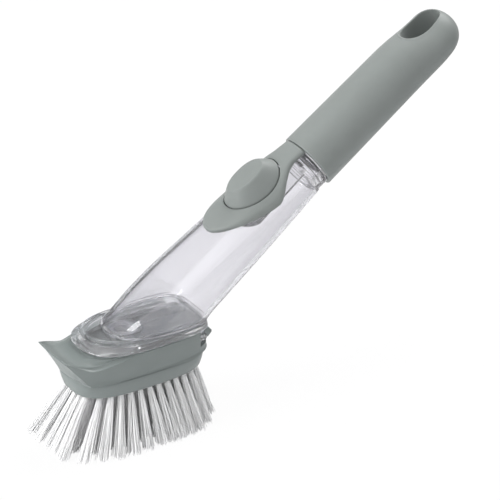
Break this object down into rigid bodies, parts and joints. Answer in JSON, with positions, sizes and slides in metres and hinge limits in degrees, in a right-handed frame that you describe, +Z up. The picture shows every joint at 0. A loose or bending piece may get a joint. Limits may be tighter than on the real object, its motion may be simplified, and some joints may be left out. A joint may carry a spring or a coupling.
{
  "type": "dish brush",
  "caption": "Soap-dispensing dish brush: clear tank handle with soft grey grip and push button, and a slide-on bristle head with a scraper.",
  "frame": {"origin": "on the floor under the middle of the head, where the bristle tips end; the head is level and stands on its tips", "axes": "+X to the rear, the way the handle climbs; -X to the scraper; +Y across the head; +Z up, out of the top of the head"},
  "size_m": [0.2712, 0.0708, 0.1999],
  "materials": {
    "soft_grey": "soft-touch matt",
    "hard_grey": "fine satin",
    "core_grey": "plain",
    "clear_plastic": "clear, polished",
    "pale_rubber": "translucent silicone",
    "white_nylon": "translucent nylon"
  },
  "bodies": {
    "wand": {"reservoir": "clear_plastic", "button_bezel": "soft_grey", "pump_bellows": "pale_rubber", "bellows_clamp": "core_grey", "foot_plate": "clear_plastic", "outlet_valve": "pale_rubber", "valve_retainer": "clear_plastic"},
    "button": {"button": "soft_grey"},
    "neck_ring": {"neck_seal_ring": "pale_rubber"},
    "grip": {"grip_sleeve": "soft_grey", "grip_core": "core_grey"},
    "head": {"head_carrier": "hard_grey", "inlet_seal": "pale_rubber", "bristle_plate": "hard_grey", "bristles_1": "white_nylon", "bristles_2": "white_nylon", "bristles_3": "white_nylon", "bristles_4": "white_nylon", "bristles_5": "white_nylon", "bristles_6": "white_nylon"},
    "latch": {"latch_tongue": "hard_grey"}
  },
  "joints": [
    {"name": "button_press", "type": "slide", "parent": "wand", "child": "button", "axis": [0.5592, 0, -0.829], "range_m": [0, 0.003], "stiffness_N_per_m": 1500, "springref_m": -0.001, "deforming": ["pump_bellows"]},
    {"name": "grip_turn", "type": "hinge", "parent": "wand", "child": "neck_ring", "pos_m": [0.11706, 0, 0.12936], "axis": [0.829, 0, 0.5592], "range_deg": [0, 540]},
    {"name": "grip_lift", "type": "slide", "parent": "neck_ring", "child": "grip", "axis": [0.829, 0, 0.5592], "range_m": [0, 0.006]},
    {"name": "head_slide", "type": "slide", "parent": "wand", "child": "head", "axis": [-1, 0, 0], "range_m": [0, 0.08], "deforming": ["latch_tongue"]},
    {"name": "latch_press", "type": "hinge", "parent": "head", "child": "latch", "pos_m": [0.014, 0, 0.0435], "axis": [0, 1, 0], "range_deg": [0, 8], "stiffness_Nm_per_rad": 2}
  ],
  "couplings": [
    {"joint": "grip_turn", "follows": "grip_lift", "rad_per_m": 1570.8}
  ]
}
